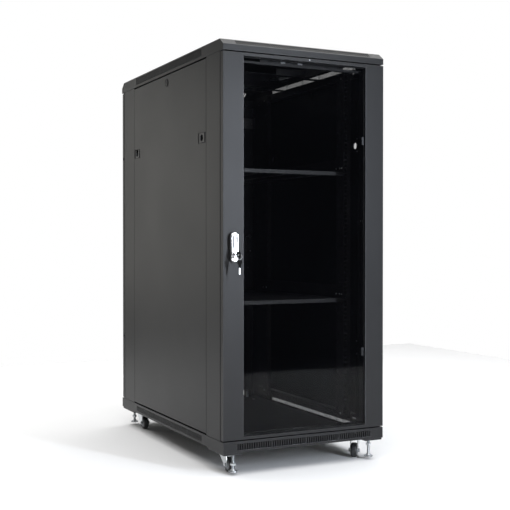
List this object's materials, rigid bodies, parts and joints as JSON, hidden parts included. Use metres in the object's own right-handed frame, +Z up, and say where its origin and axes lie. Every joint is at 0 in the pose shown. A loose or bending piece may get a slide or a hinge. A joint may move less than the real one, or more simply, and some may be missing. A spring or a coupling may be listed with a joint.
{
  "type": "network server rack cabinet",
  "caption": "Tall black floor-standing 19-inch rack cabinet on casters with a glass front door, steel rear door, lift-off side panels, mounting rails, shelves and roof fans.",
  "frame": {"origin": "middle of the bounding box on the floor plane, under the casters", "axes": "+Z up, -Y out of the glass front door, +X to the right seen from the front"},
  "size_m": [0.605, 1.0623, 1.388],
  "materials": {
    "paint": "fine textured satin black powder coat",
    "inner_paint": "satin black powder coat",
    "zinc": "bright zinc plated",
    "chrome": "polished chrome",
    "plastic": "matt black plastic",
    "wheel": "satin black polyamide wheel",
    "glass": "grey tinted toughened glass"
  },
  "bodies": {
    "frame": {"plinth": "paint", "roof": "paint", "column_front_right": "paint", "column_front_left": "paint", "column_rear_right": "paint", "column_rear_left": "paint", "cross_beam_front": "inner_paint", "cross_beam_rear": "inner_paint", "depth_beam_lower_right": "inner_paint", "depth_beam_lower_left": "inner_paint", "depth_beam_upper_right": "inner_paint", "depth_beam_upper_left": "inner_paint", "rail_front_right": "inner_paint", "rail_front_left": "inner_paint", "rail_rear_right": "inner_paint", "rail_rear_left": "inner_paint", "shelf_lower": "inner_paint", "shelf_upper": "inner_paint", "fan_tray": "inner_paint", "front_hinge_lower": "zinc", "front_hinge_upper": "zinc", "rear_hinge_lower": "zinc", "rear_hinge_upper": "zinc"},
    "front_door": {"front_door_frame": "paint", "front_door_glass": "glass", "front_handle_base": "plastic"},
    "front_hub": {"front_lock_hub": "zinc"},
    "front_lever": {"front_handle_lever": "chrome"},
    "front_key": {"front_key": "plastic"},
    "front_spare_key": {"front_spare_key": "plastic"},
    "front_rod_upper": {"front_rod_upper": "zinc"},
    "front_rod_lower": {"front_rod_lower": "zinc"},
    "rear_door": {"rear_door_panel": "paint", "rear_handle_base": "plastic"},
    "rear_hub": {"rear_lock_hub": "zinc"},
    "rear_lever": {"rear_handle_lever": "chrome"},
    "side_panel_right": {"side_panel_right": "paint"},
    "side_lock_right": {"side_lock_right": "plastic"},
    "side_latch_front_right": {"side_latch_front_right": "plastic"},
    "side_latch_rear_right": {"side_latch_rear_right": "plastic"},
    "side_panel_left": {"side_panel_left": "paint"},
    "side_lock_left": {"side_lock_left": "plastic"},
    "side_latch_front_left": {"side_latch_front_left": "plastic"},
    "side_latch_rear_left": {"side_latch_rear_left": "plastic"},
    "caster_fork_front_right": {"caster_fork_front_right": "zinc"},
    "caster_wheel_front_right": {"caster_wheel_front_right": "wheel"},
    "foot_front_right": {"foot_front_right": "zinc"},
    "caster_fork_front_left": {"caster_fork_front_left": "zinc"},
    "caster_wheel_front_left": {"caster_wheel_front_left": "wheel"},
    "foot_front_left": {"foot_front_left": "zinc"},
    "caster_fork_rear_right": {"caster_fork_rear_right": "zinc"},
    "caster_wheel_rear_right": {"caster_wheel_rear_right": "wheel"},
    "foot_rear_right": {"foot_rear_right": "zinc"},
    "caster_fork_rear_left": {"caster_fork_rear_left": "zinc"},
    "caster_wheel_rear_left": {"caster_wheel_rear_left": "wheel"},
    "foot_rear_left": {"foot_rear_left": "zinc"},
    "fan_rotor_front_left": {"fan_rotor_front_left": "plastic"},
    "fan_rotor_front_right": {"fan_rotor_front_right": "plastic"},
    "fan_rotor_rear_left": {"fan_rotor_rear_left": "plastic"},
    "fan_rotor_rear_right": {"fan_rotor_rear_right": "plastic"}
  },
  "joints": [
    {"name": "front_door_open", "type": "hinge", "parent": "frame", "child": "front_door", "pos_m": [0.294, -0.472, 0.7295], "axis": [0, 0, 1], "range_deg": [0, 105]},
    {"name": "front_handle_turn", "type": "hinge", "parent": "front_door", "child": "front_hub", "pos_m": [-0.265, -0.477, 0.761], "axis": [0, -1, 0], "range_deg": [0, 90]},
    {"name": "front_handle_lift", "type": "hinge", "parent": "front_hub", "child": "front_lever", "pos_m": [-0.265, -0.4867, 0.761], "axis": [-1, 0, 0], "range_deg": [0, 25]},
    {"name": "front_key_turn", "type": "hinge", "parent": "front_lever", "child": "front_key", "pos_m": [-0.265, -0.487, 0.704], "axis": [0, -1, 0], "range_deg": [0, 90]},
    {"name": "front_spare_key_swing", "type": "hinge", "parent": "front_key", "child": "front_spare_key", "pos_m": [-0.265, -0.5252, 0.704], "axis": [0, -1, 0], "range_deg": [-25, 25]},
    {"name": "front_rod_upper_slide", "type": "slide", "parent": "front_door", "child": "front_rod_upper", "axis": [0, 0, -1], "range_m": [0, 0.0185]},
    {"name": "front_rod_lower_slide", "type": "slide", "parent": "front_door", "child": "front_rod_lower", "axis": [0, 0, 1], "range_m": [0, 0.0185]},
    {"name": "rear_door_open", "type": "hinge", "parent": "frame", "child": "rear_door", "pos_m": [-0.294, 0.51, 0.7295], "axis": [0, 0, 1], "range_deg": [0, 105]},
    {"name": "rear_handle_turn", "type": "hinge", "parent": "rear_door", "child": "rear_hub", "pos_m": [0.265, 0.515, 0.761], "axis": [0, 1, 0], "range_deg": [0, 90]},
    {"name": "rear_handle_lift", "type": "hinge", "parent": "rear_hub", "child": "rear_lever", "pos_m": [0.265, 0.5247, 0.761], "axis": [1, 0, 0], "range_deg": [0, 25]},
    {"name": "side_panel_right_off", "type": "slide", "parent": "frame", "child": "side_panel_right", "axis": [1, 0, 0], "range_m": [0, 0.12]},
    {"name": "side_lock_right_turn", "type": "hinge", "parent": "side_panel_right", "child": "side_lock_right", "pos_m": [0.3, 0.0145, 1.317], "axis": [1, 0, 0], "range_deg": [0, 90]},
    {"name": "side_latch_front_right_slide", "type": "slide", "parent": "side_panel_right", "child": "side_latch_front_right", "axis": [0, 1, 0], "range_m": [0, 0.008], "stiffness_N_per_m": 150, "springref_m": -0.004},
    {"name": "side_latch_rear_right_slide", "type": "slide", "parent": "side_panel_right", "child": "side_latch_rear_right", "axis": [0, 1, 0], "range_m": [0, 0.008], "stiffness_N_per_m": 150, "springref_m": -0.004},
    {"name": "side_panel_left_off", "type": "slide", "parent": "frame", "child": "side_panel_left", "axis": [-1, 0, 0], "range_m": [0, 0.12]},
    {"name": "side_lock_left_turn", "type": "hinge", "parent": "side_panel_left", "child": "side_lock_left", "pos_m": [-0.3, 0.0145, 1.317], "axis": [-1, 0, 0], "range_deg": [0, 90]},
    {"name": "side_latch_front_left_slide", "type": "slide", "parent": "side_panel_left", "child": "side_latch_front_left", "axis": [0, 1, 0], "range_m": [0, 0.008], "stiffness_N_per_m": 150, "springref_m": -0.004},
    {"name": "side_latch_rear_left_slide", "type": "slide", "parent": "side_panel_left", "child": "side_latch_rear_left", "axis": [0, 1, 0], "range_m": [0, 0.008], "stiffness_N_per_m": 150, "springref_m": -0.004},
    {"name": "caster_front_right_swivel", "type": "hinge", "parent": "frame", "child": "caster_fork_front_right", "pos_m": [0.25, -0.382, 0.06], "axis": [0, 0, 1], "continuous": true},
    {"name": "caster_front_right_roll", "type": "hinge", "parent": "caster_fork_front_right", "child": "caster_wheel_front_right", "pos_m": [0.22879, -0.40728, 0.025], "axis": [0.766, -0.6428, 0], "continuous": true},
    {"name": "foot_front_right_adjust", "type": "slide", "parent": "frame", "child": "foot_front_right", "axis": [0, 0, -1], "range_m": [0, 0.012]},
    {"name": "caster_front_left_swivel", "type": "hinge", "parent": "frame", "child": "caster_fork_front_left", "pos_m": [-0.25, -0.382, 0.06], "axis": [0, 0, 1], "continuous": true},
    {"name": "caster_front_left_roll", "type": "hinge", "parent": "caster_fork_front_left", "child": "caster_wheel_front_left", "pos_m": [-0.25, -0.415, 0.025], "axis": [1, 0, 0], "continuous": true},
    {"name": "foot_front_left_adjust", "type": "slide", "parent": "frame", "child": "foot_front_left", "axis": [0, 0, -1], "range_m": [0, 0.012]},
    {"name": "caster_rear_right_swivel", "type": "hinge", "parent": "frame", "child": "caster_fork_rear_right", "pos_m": [0.25, 0.428, 0.06], "axis": [0, 0, 1], "continuous": true},
    {"name": "caster_rear_right_roll", "type": "hinge", "parent": "caster_fork_rear_right", "child": "caster_wheel_rear_right", "pos_m": [0.25686, 0.39572, 0.025], "axis": [0.9781, 0.2079, 0], "continuous": true},
    {"name": "foot_rear_right_adjust", "type": "slide", "parent": "frame", "child": "foot_rear_right", "axis": [0, 0, -1], "range_m": [0, 0.012]},
    {"name": "caster_rear_left_swivel", "type": "hinge", "parent": "frame", "child": "caster_fork_rear_left", "pos_m": [-0.25, 0.428, 0.06], "axis": [0, 0, 1], "continuous": true},
    {"name": "caster_rear_left_roll", "type": "hinge", "parent": "caster_fork_rear_left", "child": "caster_wheel_rear_left", "pos_m": [-0.25, 0.395, 0.025], "axis": [1, 0, 0], "continuous": true},
    {"name": "foot_rear_left_adjust", "type": "slide", "parent": "frame", "child": "foot_rear_left", "axis": [0, 0, -1], "range_m": [0, 0.012]},
    {"name": "fan_rotor_front_left_spin", "type": "hinge", "parent": "frame", "child": "fan_rotor_front_left", "pos_m": [-0.13, -0.069, 1.36], "axis": [0, 0, 1], "continuous": true},
    {"name": "fan_rotor_front_right_spin", "type": "hinge", "parent": "frame", "child": "fan_rotor_front_right", "pos_m": [0.13, -0.069, 1.36], "axis": [0, 0, 1], "continuous": true},
    {"name": "fan_rotor_rear_left_spin", "type": "hinge", "parent": "frame", "child": "fan_rotor_rear_left", "pos_m": [-0.13, 0.168, 1.36], "axis": [0, 0, 1], "continuous": true},
    {"name": "fan_rotor_rear_right_spin", "type": "hinge", "parent": "frame", "child": "fan_rotor_rear_right", "pos_m": [0.13, 0.168, 1.36], "axis": [0, 0, 1], "continuous": true}
  ],
  "couplings": [
    {"joint": "front_rod_upper_slide", "follows": "front_handle_turn", "m_per_rad": 0.011704},
    {"joint": "front_rod_lower_slide", "follows": "front_handle_turn", "m_per_rad": 0.011704}
  ]
}
